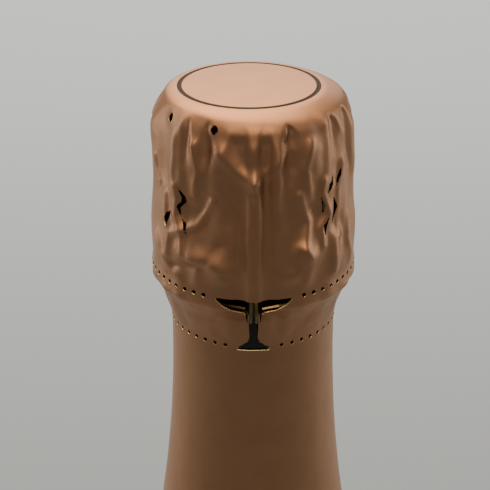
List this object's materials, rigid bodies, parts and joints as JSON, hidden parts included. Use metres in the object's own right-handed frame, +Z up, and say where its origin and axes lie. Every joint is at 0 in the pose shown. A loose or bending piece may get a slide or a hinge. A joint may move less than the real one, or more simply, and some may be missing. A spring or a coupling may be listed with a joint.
{
  "type": "champagne bottle",
  "caption": "Closed sparkling wine bottle with a drawn-in neck, punt, mushroom cork, wire cage and a foil with a tear band.",
  "frame": {"origin": "middle of the flat ring that the bottle stands on", "axes": "+Z up along the bottle's axis, -Y towards the front of the foil, where the cut-out is, +X to its right"},
  "size_m": [0.0882, 0.0882, 0.3198],
  "materials": {
    "green_glass": "dark green soda glass, moulded, glossy",
    "wine": "pale gold wine",
    "cork_agglomerate": "cork granules bonded and ground",
    "whole_cork": "whole cork, cut and ground",
    "plaque_tinplate": "stamped tinplate, gold lacquer",
    "cage_wire": "drawn steel wire, brass-coloured",
    "foil": "rolled foil, satin rose copper lacquer"
  },
  "bodies": {
    "bottle": {"glass_bottle": "green_glass", "wine": "wine", "foil_tear_band": "foil", "foil_neck_skirt": "foil"},
    "cork": {"cork_body": "cork_agglomerate", "cork_disc_upper": "whole_cork", "cork_disc_lower": "whole_cork"},
    "cage": {"cage_plaque": "plaque_tinplate", "cage_wire_front": "cage_wire", "cage_wire_right": "cage_wire", "cage_wire_back": "cage_wire", "cage_wire_left": "cage_wire", "cage_belt": "cage_wire"},
    "foil": {"foil_cap": "foil", "foil_top_disc": "foil"}
  },
  "joints": [
    {"name": "cork_pull", "type": "slide", "parent": "bottle", "child": "cork", "axis": [0, 0, 1], "range_m": [0, 0.045]},
    {"name": "cage_lift", "type": "slide", "parent": "cork", "child": "cage", "axis": [0, 0, 1], "range_m": [0, 0.045], "deforming": ["cage_wire_front", "cage_wire_right", "cage_wire_back", "cage_wire_left", "cage_belt"]},
    {"name": "foil_lift", "type": "slide", "parent": "cage", "child": "foil", "axis": [0, 0, 1], "range_m": [0, 0.045]}
  ]
}
